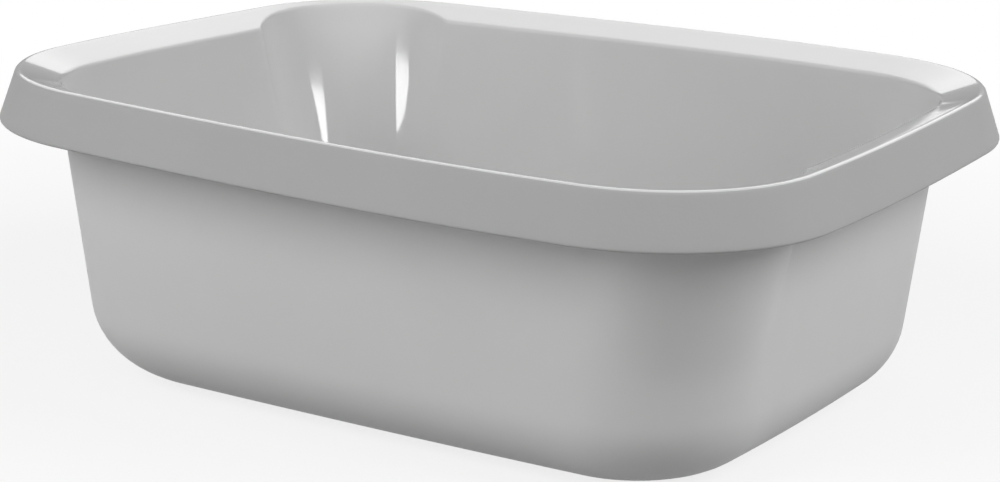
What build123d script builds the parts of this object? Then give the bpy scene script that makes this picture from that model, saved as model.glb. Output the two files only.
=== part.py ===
from build123d import *
import os
from math import asin, atan, atan2, cos, degrees, hypot, pi, radians, sin, sqrt, tan

# Washing up bowl: one moulded shell, in millimetres and degrees.
# The origin is on the ground under the middle of the bowl, with +X along its length and +Z up.
# The two pour corners are at (+X, -Y) and (-X, +Y), and the two plain ones at (+X, +Y) and (-X, -Y).

# Overall size, over the lower edge of the skirt
bowl_length = 390.0
bowl_width = 312.0
bowl_height = 133.6
wall = 2.0

# Plan of the rim's crest: four slightly bowed sides and four round corners
plain_corner_radius = 74.8
pour_corner_radius = 68.9
long_side_radius = 1320.0
short_side_radius = 1390.0

# Plan of the wall's foot, where it would meet the underside if that edge were sharp
base_length = 320.6
base_width = 238.4
base_plain_corner_radius = 67.7
base_pour_corner_radius = 57.1
base_long_side_radius = 4700.0
base_short_side_radius = 1560.0
base_edge_radius = 29.3

# Foot ring under the floor
foot_height = 1.0
foot_width = 7.0
foot_setback = 4.0

# Rim, from the wall outwards: a roll over the wall's top, a flange that falls inwards, a crest and a skirt
roll_radius = 2.4
flange_width = 14.7
flange_slope = 19.0
crest_radius = 2.4
skirt_height = 21.3
skirt_flare = 8.8

# Pour channels: the wall swells outwards at two corners, towards which the rim narrows and sinks a little
pour_width = 91.4
pour_offset = 19.8
pour_direction = 39.3
pour_flange_width = 2.9
pour_dip = 3.1
pour_start_share = 0.40
pour_blend_share = 0.08
pour_edge_power = 4

# Number of spans that follow each curve, those of a side crowding towards its corners
side_span_count = 12
side_crowding = 1.6
corner_span_count = 20
foot_span_count = 6
wall_span_count = 12
roll_span_count = 5
flange_span_count = 1
crest_span_count = 7
bead_span_count = 4

# Values worked out from the sizes above
slope = radians(flange_slope)
skirt_edge_radius = wall / 2
skirt_drop = skirt_height - skirt_edge_radius - crest_radius
skirt_lean = atan2(skirt_flare, skirt_drop) - asin(crest_radius / hypot(skirt_flare, skirt_drop))
skirt_reach = skirt_flare + skirt_edge_radius * (1 - cos(skirt_lean))
crest_half_length = bowl_length / 2 - skirt_reach
crest_half_width = bowl_width / 2 - skirt_reach
floor_level = foot_height + wall
inner_edge_radius = base_edge_radius - wall
UP = Vector(0, 0, 1)


def quarter(half_length, half_width, corner, long_side, short_side):
    """Points and outward normals from the end of a plan to its side, round one corner."""
    long_centre = Vector(0, half_width - long_side)
    short_centre = Vector(half_length - short_side, 0)
    to_long = long_side - corner
    to_short = short_side - corner
    between = short_centre - long_centre
    along = (to_long**2 - to_short**2 + between.length**2) / (2 * between.length)
    across = sqrt(to_long**2 - along**2)
    middle = long_centre + between.normalized() * along
    centre = middle + Vector(between.Y, -between.X).normalized() * across
    first = atan2(centre.Y - short_centre.Y, centre.X - short_centre.X)
    last = atan2(centre.Y - long_centre.Y, centre.X - long_centre.X)
    crowded = [(step / side_span_count) ** side_crowding for step in range(side_span_count)]
    spread = [1 - (1 - step / side_span_count) ** side_crowding for step in range(side_span_count)]
    even = [step / corner_span_count for step in range(corner_span_count)]
    arcs = [
        (short_centre, short_side, 0, first, spread),
        (centre, corner, first, last, even),
        (long_centre, long_side, last, pi / 2, crowded),
    ]
    points = []
    for arc_centre, radius, start, end, shares in arcs:
        for share in shares:
            angle = start + (end - start) * share
            normal = Vector(cos(angle), sin(angle))
            points.append((arc_centre + normal * radius, normal))
    points.append((Vector(0, half_width), Vector(0, 1)))
    return points


def plan(length, width, plain_corner, pour_corner, long_side, short_side):
    """Points and outward normals once round a plan, anticlockwise from +X."""
    plain = quarter(length / 2, width / 2, plain_corner, long_side, short_side)
    pour = quarter(length / 2, width / 2, pour_corner, long_side, short_side)
    mirrored = [tuple(Vector(-v.X, v.Y) for v in pair) for pair in reversed(pour)]
    half = plain[:-1] + mirrored[:-1]
    return half + [tuple(v * -1 for v in pair) for pair in half]


def soft_positive(value):
    """The value where it is above zero, and nothing where it is below, with a soft turn between."""
    return (value + sqrt(value**2 + pour_blend_share**2)) / 2


def pour_slot(point):
    """How far the edge of the nearest pour channel eats into its depth at a point of the plan."""
    facing = radians(-pour_direction)
    if point.X * cos(facing) + point.Y * sin(facing) < 0:
        point = point * -1
    aside = -point.X * sin(facing) + point.Y * cos(facing) - pour_offset
    reach = min(abs(aside) / (pour_width / 2), 2)
    return reach**pour_edge_power


def dip_share(point):
    """One at the two pour corners and nothing at the other two, with an even swing between."""
    turn = atan2(point.Y / crest_half_width, point.X / crest_half_length)
    return (1 - sin(2 * turn)) / 2


def section(crest, normal, base):
    """Points and tangents of the shell's inner and upper face at one place, from floor to skirt edge."""
    top = bowl_height - pour_dip * dip_share(crest)
    plain_inset = crest_radius * sin(slope) + flange_width + roll_radius * (1 - sin(slope))
    slot = pour_slot(crest - normal * plain_inset)
    openness = soft_positive(depth(1, slot)) / soft_positive(depth(1, 0))
    flange = flange_width + (pour_flange_width - flange_width) * openness
    swell = flange_width - flange
    foot = base - normal * wall

    # The wall's slope at its top, the channel's share included
    rim_drop = crest_radius * (1 - cos(slope)) + flange * tan(slope) + roll_radius * cos(slope)
    run = (crest - normal * plain_inset - foot).dot(normal)
    swell_rate = swell * rate(1, slot)
    draft = atan((run + swell_rate) / (top - rim_drop - foot_height))
    wall_top = top - rim_drop + roll_radius * sin(draft)
    inset = crest_radius * sin(slope) + flange + roll_radius * (cos(draft) - sin(slope))
    plain_top = crest - normal * (inset + swell)
    rise = (plain_top - foot) + UP * (wall_top - foot_height)

    points = []
    for step in range(foot_span_count):
        turn = pi / 2 * (1 - step / foot_span_count)
        level = floor_level - foot_height + inner_edge_radius * (1 - sin(turn))
        share = level / (wall_top - foot_height)
        place = foot + rise * share - normal * inner_edge_radius * (1 - cos(turn)) + UP * foot_height
        tangent = rise * (cos(turn) / rise.Z) + normal * sin(turn)
        points.append((place, tangent))
    foot_share = base_edge_radius / (wall_top - foot_height)
    for step in range(wall_span_count):
        share = foot_share + (1 - foot_share) * step / wall_span_count
        swollen = swell * soft_positive(depth(share, slot)) / soft_positive(depth(1, slot))
        place = foot + rise * share + normal * swollen + UP * foot_height
        tangent = rise + normal * swell * rate(share, slot)
        points.append((place, tangent))

    def arc(centre_out, centre_up, radius, start, end, spans):
        for step in range(spans + 1):
            turn = start + (end - start) * step / spans
            place = crest + normal * (centre_out - radius * sin(turn)) + UP * (centre_up + radius * cos(turn))
            points.append((place, normal * cos(turn) + UP * sin(turn)))

    flange_in = -crest_radius * sin(slope) - flange
    flange_up = top - crest_radius * (1 - cos(slope)) - flange * tan(slope)
    roll_out = flange_in + roll_radius * sin(slope)
    roll_up = flange_up - roll_radius * cos(slope)
    arc(roll_out, roll_up, roll_radius, pi / 2 - draft, slope, roll_span_count)
    arc(0, top - crest_radius, crest_radius, slope, skirt_lean - pi / 2, crest_span_count)
    place = crest + normal * skirt_flare + UP * (top - skirt_height + skirt_edge_radius)
    points.append((place, normal * sin(skirt_lean) - UP * cos(skirt_lean)))
    return points


def depth(share, slot):
    """Depth of the pour channel, as a share of its depth at the rim, at a share of the wall's height."""
    return (share - pour_start_share) / (1 - pour_start_share) - slot


def rate(share, slot):
    """How fast the channel's depth grows with the share of the wall's height."""
    value = depth(share, slot)
    growth = (1 + value / sqrt(value**2 + pour_blend_share**2)) / 2
    return growth / soft_positive(depth(1, slot)) / (1 - pour_start_share)


def closed_curve(points):
    """A smooth closed wire through the points of one ring."""
    return Wire([Edge.make_spline(points, periodic=True, parameters=knots)])


def band(rings, ruled=False):
    """The faces that join neighbouring rings."""
    return Shell.make_loft([closed_curve(ring) for ring in rings], ruled).faces()


def inward(ring, distance, level):
    """A level ring, moved towards the middle of the bowl by a distance."""
    return [Vector(p.X, p.Y, level) - n * distance for p, (c, n) in zip(ring, crest_plan)]


# The two plans, point for point
crest_plan = plan(
    2 * crest_half_length,
    2 * crest_half_width,
    plain_corner_radius,
    pour_corner_radius,
    long_side_radius,
    short_side_radius,
)
base_plan = plan(
    base_length,
    base_width,
    base_plain_corner_radius,
    base_pour_corner_radius,
    base_long_side_radius,
    base_short_side_radius,
)
count = len(crest_plan)
knots = [0.0]
for index in range(count):
    step = (crest_plan[(index + 1) % count][0] - crest_plan[index][0]).length
    knots.append(knots[-1] + step)

# Face rings, and the rings of the back, one wall away from them
sections = [section(*over, under[0]) for over, under in zip(crest_plan, base_plan)]
face = [[places[row][0] for places in sections] for row in range(len(sections[0]))]
back = []
edge_down = []
for row, ring in enumerate(face):
    back_ring = []
    for index, place in enumerate(ring):
        round_the_ring = ring[(index + 1) % count] - ring[index - 1]
        up_the_wall = sections[index][row][1]
        through = round_the_ring.cross(up_the_wall).normalized()
        back_ring.append(place + through * wall)
    back.append(back_ring)

# The rounded lower edge of the skirt
bead = []
for step in range(bead_span_count + 1):
    turn = pi * step / bead_span_count
    bead_ring = []
    for index in range(count):
        outer = face[-1][index]
        inner = back[-1][index]
        down = sections[index][-1][1]
        across = (outer + inner) / 2 + (outer - inner) * (cos(turn) / 2)
        bead_ring.append(across + down.normalized() * skirt_edge_radius * sin(turn))
    bead.append(bead_ring)

# The faces, in bands that each hold one kind of curve
foot_end = foot_span_count
wall_end = foot_end + wall_span_count
roll_end = wall_end + roll_span_count
crest_start = roll_end + flange_span_count
crest_end = crest_start + crest_span_count
faces = []
for rings in (face, back):
    faces += band(rings[: foot_end + 1])
    faces += band(rings[foot_end : wall_end + 1])
    faces += band(rings[wall_end : roll_end + 1])
    faces += band(rings[roll_end : crest_start + 1], ruled=True)
    faces += band(rings[crest_start : crest_end + 1])
    faces += band(rings[crest_end : crest_end + 2], ruled=True)
faces += band(bead)

# Floor, underside and foot ring
foot_outer = inward(back[0], foot_setback, foot_height)
foot_outer_low = inward(back[0], foot_setback, 0)
foot_inner_low = inward(back[0], foot_setback + foot_width, 0)
foot_inner = inward(back[0], foot_setback + foot_width, foot_height)
faces.append(Face(closed_curve(face[0])))
faces.append(Face(closed_curve(back[0]), [closed_curve(foot_outer)]))
faces += band([foot_outer, foot_outer_low], ruled=True)
faces.append(Face(closed_curve(foot_outer_low), [closed_curve(foot_inner_low)]))
faces += band([foot_inner_low, foot_inner], ruled=True)
faces.append(Face(closed_curve(foot_inner)))

bowl = Solid(Shell(faces))
os.makedirs("parts", exist_ok=True)
export_step(bowl, "parts/bowl.step")
box = bowl.bounding_box()
print("valid", bowl.is_valid, "volume", round(bowl.volume), "size", box.size)
print("skirt lean", round(degrees(skirt_lean), 1))
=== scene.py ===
import bpy
import numpy as np
from mathutils import Matrix, Vector


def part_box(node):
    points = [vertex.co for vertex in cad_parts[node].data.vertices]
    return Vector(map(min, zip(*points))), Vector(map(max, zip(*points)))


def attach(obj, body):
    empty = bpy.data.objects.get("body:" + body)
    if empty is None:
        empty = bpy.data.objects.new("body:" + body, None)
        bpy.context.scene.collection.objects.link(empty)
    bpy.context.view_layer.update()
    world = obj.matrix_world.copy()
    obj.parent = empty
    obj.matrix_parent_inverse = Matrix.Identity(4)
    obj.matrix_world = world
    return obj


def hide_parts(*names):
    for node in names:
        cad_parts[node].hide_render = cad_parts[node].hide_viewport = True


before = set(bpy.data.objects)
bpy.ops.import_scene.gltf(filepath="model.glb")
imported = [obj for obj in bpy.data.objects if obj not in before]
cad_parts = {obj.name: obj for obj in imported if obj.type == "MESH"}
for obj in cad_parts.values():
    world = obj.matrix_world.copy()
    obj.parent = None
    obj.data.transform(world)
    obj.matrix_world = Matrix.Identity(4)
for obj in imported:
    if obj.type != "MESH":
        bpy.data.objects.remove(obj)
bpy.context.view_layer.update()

# Washing up bowl on a white ground, in metres, in the part's own frame: the origin is on the ground
# under the middle of the bowl, with +X along its length and +Z up.
low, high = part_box("bowl")

# Overall size, over the lower edge of the skirt
bowl_length = 2 * min(high[0], -low[0])
bowl_width = 2 * min(high[1], -low[1])
bowl_height = high[2] - low[2]
wall = 0.002

# Plan of the rim's crest: four slightly bowed sides and four round corners
plain_corner_radius = 0.0748
pour_corner_radius = 0.0689
long_side_radius = 1.32
short_side_radius = 1.39

# Plan of the wall's foot, where it would meet the underside if that edge were sharp
base_length = 0.3206
base_width = 0.2384
base_plain_corner_radius = 0.0677
base_pour_corner_radius = 0.0571
base_long_side_radius = 4.7
base_short_side_radius = 1.56
base_rounding = 0.0293

# Foot ring under the floor
foot_height = 0.001
foot_width = 0.007
foot_setback = 0.004

# Rim, from the wall outwards: a roll over the wall's top, a flange that falls inwards, a crest and a skirt
roll_radius = 0.0024
flange_width = 0.0147
flange_slope = 19.0
crest_radius = 0.0024
skirt_height = 0.0213
skirt_flare = 0.0088

# Pour channels: the wall swells outwards at two corners, towards which the rim narrows and sinks a little
pour_width = 0.0914
pour_offset = 0.0198
pour_direction = 39.3
pour_flange_width = 0.0029
pour_dip = 0.0031
pour_start_share = 0.40
pour_blend_share = 0.08
pour_edge_power = 4

# Number of spans that follow each curve, those of a side crowding towards its corners
side_spans = 40
side_crowding = 1.6
corner_spans = 60
rounding_spans = 14
wall_spans = 44
roll_spans = 12
flange_spans = 4
crest_spans = 14
crest_gloss_spans = 9
skirt_spans = 8
bead_spans = 8
floor_spans = 10

# The finishes of the shell, by the number of their material
INSIDE = 0
SKIRT = 1
OUTSIDE = 2

# Plastic: one grey, glossy inside, satin outside and dull on the skirt; the skirt's grey is darker, a
# painted shade
grey = (0.6, 0.6, 0.6)
skirt_grey_painted_shade = (0.38, 0.38, 0.38)
gloss_roughness = 0.06
satin_roughness = 0.55
dull_roughness = 0.7
plastic_ior = 1.5
cloud_scale = 18.0
cloud_detail = 6.0
cloud_ramp_ends = (0.3, 0.7)
cloud_strength = 0.015
grain_size = 0.0015
gloss_grain_height = 0.000001
satin_grain_height = 0.000006
skirt_grain_size = 0.0011
skirt_grain_height = 0.00006
grain_detail = 3.0
swirl_scale = 22.0
swirl_detail = 1.0
gloss_swirl_height = 0.00002
satin_swirl_height = 0.00006
skirt_swirl_height = 0.00005

# Ground: white away from the bowl, and its own shaded colour near it
ground_size = 8.0
ground_colour = (0.86, 0.86, 0.86, 1)
ground_bounce = (0.35, 0.35, 0.35, 1)
shade_radius = 0.75
shade_core_radius = shade_radius / 3
least_white_share = 0.8

# World: its even light, and its reflections, dim below one height in degrees and white above another
white = (1, 1, 1, 1)
full_strength = 1.0
even_light = 0.2
dim_below = 12.0
white_above = 24.0
dim_strength = 0.25

# Lamps that light the bowl and don't show in it. An azimuth of 0 is at +X and one of 90 at +Y.
lighting_lamps = {
    "lamp_over": dict(azimuth=120.0, distance=1.2, middle_height=1.7, width=1.4, height=1.4, radiance=0.45),
    "lamp_left": dict(azimuth=-110.0, distance=1.4, middle_height=1.0, width=0.9, height=0.9, radiance=5.6),
    "lamp_right": dict(azimuth=10.0, distance=1.4, middle_height=1.0, width=0.9, height=0.9, radiance=6.8),
    "lamp_low": dict(azimuth=-110.0, distance=1.7, middle_height=0.35, width=1.1, height=0.7, radiance=1.5),
}

# Lamps that show in the bowl as highlights and don't light it
highlight_lamps = {
    "sheen_back": dict(
        azimuth=122.0,
        distance=1.6,
        middle_height=1.177,
        width=2.2,
        height=1.209,
        radiance=1.4,
    ),
    "glint_left": dict(
        azimuth=-96.4,
        distance=1.8,
        middle_height=0.33,
        width=0.72,
        height=0.56,
        radiance=13.0,
        roll=11.0,
    ),
    "glint_right": dict(
        azimuth=12.0,
        distance=1.75,
        middle_height=0.29,
        width=0.6,
        height=0.5,
        radiance=14.0,
        roll=-10.0,
    ),
}

# Camera: its direction, distance and place, in degrees and metres, as in the photograph
camera_azimuth = 30.8615
camera_elevation = 15.2494
camera_roll = 1.4474
camera_distance = 1.17832
camera_right = 0.02654
camera_up = 0.0497
nearest_seen = 0.01
farthest_seen = 50.0
sensor = 36.0
focal_share = 2.68714

# The photograph's frame and the middle of its view, in pixels
frame_width = 1000
frame_height = 482
middle_across = 556.9
middle_down = 256.0

# Values worked out from the sizes above
slope = np.radians(flange_slope)
edge_radius = wall / 2
skirt_drop = skirt_height - edge_radius - crest_radius
skirt_slant = np.hypot(skirt_flare, skirt_drop)
skirt_lean = np.arctan2(skirt_flare, skirt_drop) - np.arcsin(crest_radius / skirt_slant)
skirt_reach = skirt_flare + edge_radius * (1 - np.cos(skirt_lean))
crest_half_length = bowl_length / 2 - skirt_reach
crest_half_width = bowl_width / 2 - skirt_reach
inner_rounding = base_rounding - wall
UP = np.array([0.0, 0.0, 1.0])


def quarter(half_length, half_width, corner, long_side, short_side):
    """Points and outward normals from the end of a plan to its side, round one corner."""
    long_centre = np.array([0, half_width - long_side])
    short_centre = np.array([half_length - short_side, 0])
    to_long = long_side - corner
    to_short = short_side - corner
    between = short_centre - long_centre
    distance = np.hypot(*between)
    along = (to_long**2 - to_short**2 + distance**2) / (2 * distance)
    across = np.sqrt(to_long**2 - along**2)
    toward = between / distance
    centre = long_centre + toward * along + np.array([toward[1], -toward[0]]) * across
    first = np.arctan2(centre[1] - short_centre[1], centre[0] - short_centre[0])
    last = np.arctan2(centre[1] - long_centre[1], centre[0] - long_centre[0])
    even = np.arange(side_spans) / side_spans
    arcs = [
        (short_centre, short_side, 0, first, 1 - (1 - even) ** side_crowding),
        (centre, corner, first, last, np.arange(corner_spans) / corner_spans),
        (long_centre, long_side, last, np.pi / 2, even**side_crowding),
    ]
    points = []
    normals = []
    for arc_centre, radius, start, end, shares in arcs:
        angle = start + (end - start) * shares
        normal = np.stack([np.cos(angle), np.sin(angle)], 1)
        points.append(arc_centre + normal * radius)
        normals.append(normal)
    points.append(np.array([[0, half_width]]))
    normals.append(np.array([[0.0, 1.0]]))
    return np.vstack(points), np.vstack(normals)


def plan(length, width, plain_corner, pour_corner, long_side, short_side):
    """Points and outward normals once round a plan, anticlockwise from +X."""
    plain = quarter(length / 2, width / 2, plain_corner, long_side, short_side)
    pour = quarter(length / 2, width / 2, pour_corner, long_side, short_side)
    loops = []
    for whole, turned in zip(plain, pour):
        mirrored = turned[::-1] * [-1, 1]
        half = np.vstack([whole[:-1], mirrored[:-1]])
        ring = np.vstack([half, -half])
        loops.append(np.column_stack([ring, np.zeros(len(ring))]))
    return loops


def soft_positive(value):
    """The value where it is above zero, and nothing where it is below, with a soft turn between."""
    return (value + np.sqrt(value**2 + pour_blend_share**2)) / 2


def pour_slot(points):
    """How far the edge of the nearest pour channel eats into its depth at points of the plan."""
    facing = np.radians(-pour_direction)
    ahead = points[:, 0] * np.cos(facing) + points[:, 1] * np.sin(facing)
    side = np.where(ahead < 0, -1, 1)
    aside = side * (-points[:, 0] * np.sin(facing) + points[:, 1] * np.cos(facing)) - pour_offset
    reach = np.minimum(np.abs(aside) / (pour_width / 2), 2)
    return reach**pour_edge_power


def depth(share, slot):
    """Depth of the pour channel, as a share of its depth at the rim, at a share of the wall's height."""
    return (share - pour_start_share) / (1 - pour_start_share) - slot


def rate(share, slot):
    """How fast the channel's depth grows with the share of the wall's height."""
    value = depth(share, slot)
    growth = (1 + value / np.sqrt(value**2 + pour_blend_share**2)) / 2
    return growth / soft_positive(depth(1, slot)) / (1 - pour_start_share)


def shell_face(crest, normal, base):
    """Rows of points of the shell's face, from the floor to the skirt's edge, and their tangents."""

    def wide(values):
        return np.asarray(values)[:, None]

    turn_round = np.arctan2(crest[:, 1] / crest_half_width, crest[:, 0] / crest_half_length)
    top = bowl_height - pour_dip * (1 - np.sin(2 * turn_round)) / 2
    plain_inset = crest_radius * np.sin(slope) + flange_width + roll_radius * (1 - np.sin(slope))
    slot = pour_slot(crest - normal * plain_inset)
    openness = soft_positive(depth(1, slot)) / soft_positive(depth(1, 0))
    flange = flange_width + (pour_flange_width - flange_width) * openness
    swell = flange_width - flange
    foot = base - normal * wall

    # The wall's slope at its top, the channel's share included
    rim_drop = crest_radius * (1 - np.cos(slope)) + flange * np.tan(slope) + roll_radius * np.cos(slope)
    run = ((crest - normal * plain_inset - foot) * normal).sum(1)
    draft = np.arctan((run + swell * rate(1, slot)) / (top - rim_drop - foot_height))
    wall_top = top - rim_drop + roll_radius * np.sin(draft)
    inset = crest_radius * np.sin(slope) + flange + roll_radius * (np.cos(draft) - np.sin(slope))
    plain_top = crest - normal * wide(inset + swell)
    rise = (plain_top - foot) + UP * wide(wall_top - foot_height)

    rows = []
    tangents = []
    for step in range(rounding_spans):
        turn = np.pi / 2 * (1 - step / rounding_spans)
        share = (wall + inner_rounding * (1 - np.sin(turn))) / (wall_top - foot_height)
        rounded = normal * inner_rounding * (1 - np.cos(turn))
        rows.append(foot + rise * wide(share) - rounded + UP * foot_height)
        tangents.append(rise * np.cos(turn) / rise[:, 2:] + normal * np.sin(turn))
    rounding_share = base_rounding / (wall_top - foot_height)
    for step in range(wall_spans):
        share = rounding_share + (1 - rounding_share) * step / wall_spans
        swollen = swell * soft_positive(depth(share, slot)) / soft_positive(depth(1, slot))
        rows.append(foot + rise * wide(share) + normal * wide(swollen) + UP * foot_height)
        tangents.append(rise + normal * wide(swell * rate(share, slot)))

    def arc(centre_out, centre_up, radius, start, end, spans):
        for step in range(spans + 1):
            turn = start + (end - start) * step / spans
            sine = wide(np.sin(turn) * np.ones(len(crest)))
            cosine = wide(np.cos(turn) * np.ones(len(crest)))
            out = wide(centre_out * np.ones(len(crest)))
            up = wide(centre_up)
            rows.append(crest + normal * (out - radius * sine) + UP * (up + radius * cosine))
            tangents.append(normal * cosine + UP * sine)

    crest_start_up = top - crest_radius * (1 - np.cos(slope))
    flange_in = -crest_radius * np.sin(slope) - flange
    flange_up = crest_start_up - flange * np.tan(slope)
    roll_out = flange_in + roll_radius * np.sin(slope)
    roll_up = flange_up - roll_radius * np.cos(slope)
    arc(roll_out, roll_up, roll_radius, np.pi / 2 - draft, slope, roll_spans)
    flange_tangent = normal * np.cos(slope) + UP * np.sin(slope)
    flange_start = rows[-1]
    flange_end = crest - normal * crest_radius * np.sin(slope) + UP * wide(crest_start_up)
    for step in range(1, flange_spans):
        rows.append(flange_start + (flange_end - flange_start) * step / flange_spans)
        tangents.append(flange_tangent)
    arc(0, top - crest_radius, crest_radius, slope, skirt_lean - np.pi / 2, crest_spans)
    skirt_tangent = normal * np.sin(skirt_lean) - UP * np.cos(skirt_lean)
    skirt_start = rows[-1]
    skirt_end = crest + normal * skirt_flare + UP * wide(top - skirt_height + edge_radius)
    for step in range(1, skirt_spans + 1):
        rows.append(skirt_start + (skirt_end - skirt_start) * step / skirt_spans)
        tangents.append(skirt_tangent)
    return rows, tangents


def shell_back(rows, tangents):
    """The rows of the other side of the shell, one wall away."""
    back = []
    for row, tangent in zip(rows, tangents):
        round_the_ring = np.roll(row, -1, axis=0) - np.roll(row, 1, axis=0)
        through = np.cross(round_the_ring, tangent)
        through /= np.linalg.norm(through, axis=1)[:, None]
        back.append(row + through * wall)
    return back


def skirt_bead(outer, inner, down):
    """Rows round the lower edge of the skirt, between its outer and inner side."""
    rows = []
    for step in range(1, bead_spans):
        turn = np.pi * step / bead_spans
        across = (outer - inner) * np.cos(turn) / 2
        rows.append((outer + inner) / 2 + across + down * edge_radius * np.sin(turn))
    return rows


def level_cap(ring, shares):
    """Rows inside a level ring, at shares of the way out from its middle, for the floor or underside."""
    middle = ring.mean(0)
    return [middle + (ring - middle) * share for share in shares]


def bowl_rows():
    """All rows of the shell once round its section, and the finish of the band after each row."""
    crest, normal = plan(
        2 * crest_half_length,
        2 * crest_half_width,
        plain_corner_radius,
        pour_corner_radius,
        long_side_radius,
        short_side_radius,
    )
    base, _ = plan(
        base_length,
        base_width,
        base_plain_corner_radius,
        base_pour_corner_radius,
        base_long_side_radius,
        base_short_side_radius,
    )
    face, tangents = shell_face(crest, normal, base)
    back = shell_back(face, tangents)
    glossy_rows = len(face) - skirt_spans - 1 - crest_spans + crest_gloss_spans
    shares = np.arange(1, floor_spans) / floor_spans
    rows = level_cap(face[0], shares)
    finish = [INSIDE] * len(rows)
    rows += face
    finish += [INSIDE] * glossy_rows + [SKIRT] * (len(face) - glossy_rows)
    down = tangents[-1] / np.linalg.norm(tangents[-1], axis=1)[:, None]
    bead = skirt_bead(face[-1], back[-1], down)
    rows += bead
    finish += [SKIRT] * len(bead)
    rows += back[::-1]
    finish += [OUTSIDE] * len(back)

    def inward(distance, level):
        ring = back[0] - normal * distance
        ring[:, 2] = level
        return ring

    foot = [
        inward(foot_setback, foot_height),
        inward(foot_setback + foot_height / 2, 0.0),
        inward(foot_setback + foot_width - foot_height / 2, 0.0),
        inward(foot_setback + foot_width, foot_height),
    ]
    rows += foot
    finish += [OUTSIDE] * len(foot)
    under = level_cap(foot[-1], shares[::-1])
    rows += under
    finish += [OUTSIDE] * len(under)
    return rows, finish


def skin(name, rows, finish, materials):
    """A smooth closed mesh through rows of points, with one point in the middle of each end."""
    count = len(rows[0])
    points = np.vstack(rows + [rows[0].mean(0)[None], rows[-1].mean(0)[None]])
    first_middle = len(rows) * count
    last_middle = first_middle + 1
    along = np.arange(count)
    after = (along + 1) % count
    faces = [(first_middle, int(a), int(b)) for a, b in zip(along, after)]
    marks = [finish[0]] * count
    for row in range(len(rows) - 1):
        here = row * count
        there = here + count
        for a, b in zip(along, after):
            faces.append((int(here + a), int(there + a), int(there + b), int(here + b)))
        marks += [finish[row]] * count
    end = (len(rows) - 1) * count
    faces += [(last_middle, int(end + b), int(end + a)) for a, b in zip(along, after)]
    marks += [finish[-1]] * count
    mesh = bpy.data.meshes.new(name)
    mesh.from_pydata([tuple(point) for point in points], [], faces)
    for material in materials:
        mesh.materials.append(material)
    mesh.polygons.foreach_set("material_index", marks)
    mesh.polygons.foreach_set("use_smooth", [True] * len(faces))
    mesh.update()
    piece = bpy.data.objects.new(name, mesh)
    bpy.context.scene.collection.objects.link(piece)
    return piece


# Materials
def nodes_of(material):
    """The nodes and links of a new material, and its Principled shader."""
    material.use_nodes = True
    tree = material.node_tree
    return tree.nodes, tree.links, tree.nodes["Principled BSDF"]


def plastic(name, colour, roughness, grain_width, grain_height, swirl_height):
    """Moulded plastic: a faint cloudiness, a fine surface grain and a slow waviness of the moulded face."""
    material = bpy.data.materials.new(name)
    nodes, links, shader = nodes_of(material)
    place = nodes.new("ShaderNodeTexCoord")
    shader.inputs["Roughness"].default_value = roughness
    shader.inputs["IOR"].default_value = plastic_ior

    cloud = nodes.new("ShaderNodeTexNoise")
    cloud.inputs["Scale"].default_value = cloud_scale
    cloud.inputs["Detail"].default_value = cloud_detail
    links.new(place.outputs["Object"], cloud.inputs["Vector"])
    tint = nodes.new("ShaderNodeValToRGB")
    levels = (1 - cloud_strength, 1 + cloud_strength)
    for element, position, level in zip(tint.color_ramp.elements, cloud_ramp_ends, levels):
        element.position = position
        element.color = (*[channel * level for channel in colour], 1)
    links.new(cloud.outputs["Fac"], tint.inputs["Fac"])
    links.new(tint.outputs["Color"], shader.inputs["Base Color"])

    grain = nodes.new("ShaderNodeTexNoise")
    grain.inputs["Scale"].default_value = 1 / grain_width
    grain.inputs["Detail"].default_value = grain_detail
    links.new(place.outputs["Object"], grain.inputs["Vector"])
    swirl = nodes.new("ShaderNodeTexNoise")
    swirl.inputs["Scale"].default_value = swirl_scale
    swirl.inputs["Detail"].default_value = swirl_detail
    links.new(place.outputs["Object"], swirl.inputs["Vector"])
    fine = nodes.new("ShaderNodeBump")
    fine.inputs["Distance"].default_value = grain_height
    fine.inputs["Strength"].default_value = full_strength
    links.new(grain.outputs["Fac"], fine.inputs["Height"])
    slow = nodes.new("ShaderNodeBump")
    slow.inputs["Distance"].default_value = swirl_height
    slow.inputs["Strength"].default_value = full_strength
    links.new(swirl.outputs["Fac"], slow.inputs["Height"])
    links.new(fine.outputs["Normal"], slow.inputs["Normal"])
    links.new(slow.outputs["Normal"], shader.inputs["Normal"])
    return material


inside = plastic(
    "bowl_inside",
    grey,
    gloss_roughness,
    grain_size,
    gloss_grain_height,
    gloss_swirl_height,
)
# The skirt's darker grey is painted shade, not a colour of the plastic
skirt = plastic(
    "bowl_skirt",
    skirt_grey_painted_shade,
    dull_roughness,
    skirt_grain_size,
    skirt_grain_height,
    skirt_swirl_height,
)
outside = plastic(
    "bowl_outside",
    grey,
    satin_roughness,
    grain_size,
    satin_grain_height,
    satin_swirl_height,
)

# The bowl
rows, finish = bowl_rows()
bowl = skin("bowl_moulding", rows, finish, [inside, skirt, outside])
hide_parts("bowl")
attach(bowl, "root")


# The ground and the light
def seen_by_camera(nodes, links):
    """A value of one for rays from the camera, or that see the ground through or in a shiny surface."""
    path = nodes.new("ShaderNodeLightPath")
    first = nodes.new("ShaderNodeMath")
    first.operation = "MAXIMUM"
    links.new(path.outputs["Is Camera Ray"], first.inputs[0])
    links.new(path.outputs["Is Glossy Ray"], first.inputs[1])
    second = nodes.new("ShaderNodeMath")
    second.operation = "MAXIMUM"
    links.new(first.outputs[0], second.inputs[0])
    links.new(path.outputs["Is Transmission Ray"], second.inputs[1])
    return second.outputs[0]


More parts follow.
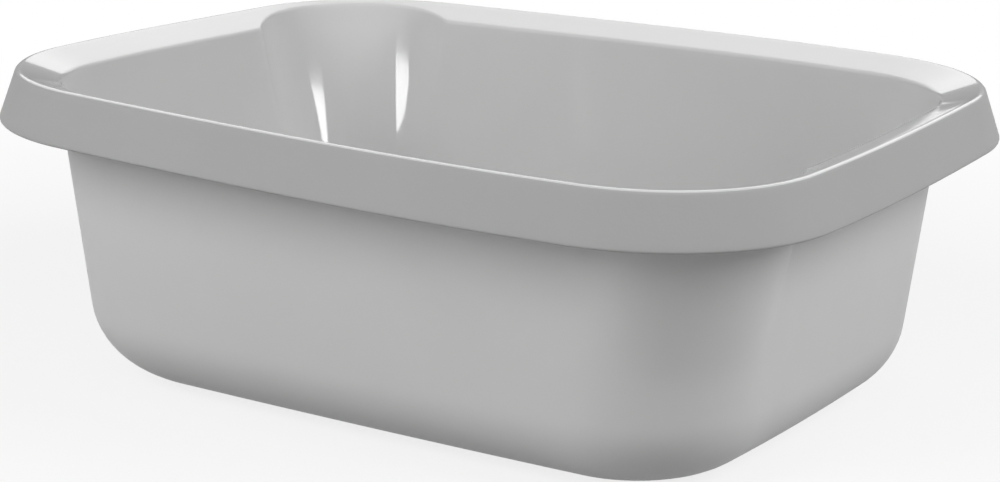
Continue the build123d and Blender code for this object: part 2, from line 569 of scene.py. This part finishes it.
def ground():
    """A pale ground, white to the camera away from the bowl, with the bowl's soft shadow near it."""
    material = bpy.data.materials.new("ground_white")
    nodes, links, shader = nodes_of(material)
    shader.inputs["Roughness"].default_value = 1
    shader.inputs["Specular IOR Level"].default_value = 0
    seen = seen_by_camera(nodes, links)
    colour = nodes.new("ShaderNodeMix")
    colour.data_type = "RGBA"
    colour.inputs["A"].default_value = ground_bounce
    colour.inputs["B"].default_value = ground_colour
    links.new(seen, colour.inputs["Factor"])
    links.new(colour.outputs["Result"], shader.inputs["Base Color"])
    glow = nodes.new("ShaderNodeEmission")
    glow.inputs["Strength"].default_value = full_strength
    place = nodes.new("ShaderNodeTexCoord")
    far = nodes.new("ShaderNodeVectorMath")
    far.operation = "LENGTH"
    links.new(place.outputs["Object"], far.inputs[0])
    fade = nodes.new("ShaderNodeMapRange")
    fade.interpolation_type = "SMOOTHSTEP"
    fade.inputs["From Min"].default_value = shade_core_radius
    fade.inputs["From Max"].default_value = shade_radius
    fade.inputs["To Min"].default_value = least_white_share
    links.new(far.outputs["Value"], fade.inputs["Value"])
    share = nodes.new("ShaderNodeMath")
    share.operation = "MULTIPLY"
    links.new(fade.outputs["Result"], share.inputs[0])
    links.new(seen, share.inputs[1])
    mix = nodes.new("ShaderNodeMixShader")
    links.new(share.outputs[0], mix.inputs["Fac"])
    links.new(shader.outputs["BSDF"], mix.inputs[1])
    links.new(glow.outputs["Emission"], mix.inputs[2])
    links.new(mix.outputs["Shader"], nodes["Material Output"].inputs["Surface"])
    half = ground_size / 2
    mesh = bpy.data.meshes.new("ground")
    corners = [(-half, -half, 0), (half, -half, 0), (half, half, 0), (-half, half, 0)]
    mesh.from_pydata(corners, [], [(0, 1, 2, 3)])
    mesh.materials.append(material)
    plane = bpy.data.objects.new("ground", mesh)
    bpy.context.scene.collection.objects.link(plane)


def world_light():
    """White to the camera, dim near the horizon in reflections, and a weaker even light on the bowl."""
    world = bpy.data.worlds.new("studio")
    bpy.context.scene.world = world
    world.use_nodes = True
    nodes = world.node_tree.nodes
    links = world.node_tree.links
    soft = nodes["Background"]
    soft.inputs["Color"].default_value = white
    soft.inputs["Strength"].default_value = even_light
    bright = nodes.new("ShaderNodeBackground")
    bright.inputs["Color"].default_value = white
    place = nodes.new("ShaderNodeTexCoord")
    direction = nodes.new("ShaderNodeSeparateXYZ")
    links.new(place.outputs["Generated"], direction.inputs[0])
    rising = nodes.new("ShaderNodeMapRange")
    rising.interpolation_type = "SMOOTHSTEP"
    rising.inputs["From Min"].default_value = np.sin(np.radians(dim_below))
    rising.inputs["From Max"].default_value = np.sin(np.radians(white_above))
    rising.inputs["To Min"].default_value = dim_strength
    links.new(direction.outputs["Z"], rising.inputs["Value"])
    path = nodes.new("ShaderNodeLightPath")
    strength = nodes.new("ShaderNodeMath")
    strength.operation = "MAXIMUM"
    links.new(path.outputs["Is Camera Ray"], strength.inputs[0])
    links.new(rising.outputs["Result"], strength.inputs[1])
    links.new(strength.outputs[0], bright.inputs["Strength"])
    mix = nodes.new("ShaderNodeMixShader")
    links.new(seen_by_camera(nodes, links), mix.inputs["Fac"])
    links.new(soft.outputs["Background"], mix.inputs[1])
    links.new(bright.outputs["Background"], mix.inputs[2])
    links.new(mix.outputs["Shader"], nodes["World Output"].inputs["Surface"])


def softbox(name, lights, azimuth, distance, middle_height, width, height, radiance, roll=0.0):
    """A flat lamp that faces the bowl, and either lights it or shows in it as a highlight."""
    turn = np.radians(azimuth)
    lamp = bpy.data.lights.new(name, "AREA")
    lamp.shape = "RECTANGLE"
    lamp.size = width
    lamp.size_y = height
    lamp.energy = radiance * np.pi * width * height
    place = Vector((distance * np.cos(turn), distance * np.sin(turn), middle_height))
    holder = bpy.data.objects.new(name, lamp)
    aim = Vector((0, 0, bowl_height / 2)) - place
    facing = aim.to_track_quat("-Z", "Y").to_matrix().to_4x4()
    holder.matrix_world = Matrix.Translation(place) @ facing @ Matrix.Rotation(np.radians(roll), 4, "Z")
    holder.visible_diffuse = lights
    holder.visible_glossy = not lights
    bpy.context.scene.collection.objects.link(holder)


ground()
world_light()
for name, values in lighting_lamps.items():
    softbox(name, True, **values)
for name, values in highlight_lamps.items():
    softbox(name, False, **values)


# The camera
def photo_camera():
    """A camera at the photograph's angle and distance, its frame shifted as the photograph is cropped."""
    turn = np.radians(camera_azimuth)
    tilt = np.radians(camera_elevation)
    roll = np.radians(camera_roll)
    back = np.array([np.sin(turn) * np.cos(tilt), -np.cos(turn) * np.cos(tilt), np.sin(tilt)])
    level = np.cross(UP, back)
    level /= np.linalg.norm(level)
    upward = np.cross(back, level)
    right = np.cos(roll) * level + np.sin(roll) * upward
    above = -np.sin(roll) * level + np.cos(roll) * upward
    place = back * camera_distance + right * camera_right + above * camera_up + UP * foot_height
    data = bpy.data.cameras.new("camera")
    data.sensor_fit = "HORIZONTAL"
    data.sensor_width = sensor
    data.lens = focal_share * sensor
    data.shift_x = 0.5 - middle_across / frame_width
    data.shift_y = (middle_down - frame_height / 2) / frame_width
    data.clip_start = nearest_seen
    data.clip_end = farthest_seen
    camera = bpy.data.objects.new("camera", data)
    turned = Matrix([list(right), list(above), list(back)]).transposed().to_4x4()
    camera.matrix_world = Matrix.Translation(Vector(place)) @ turned
    bpy.context.scene.collection.objects.link(camera)
    bpy.context.scene.camera = camera


photo_camera()
bpy.context.scene.view_settings.view_transform = "Standard"
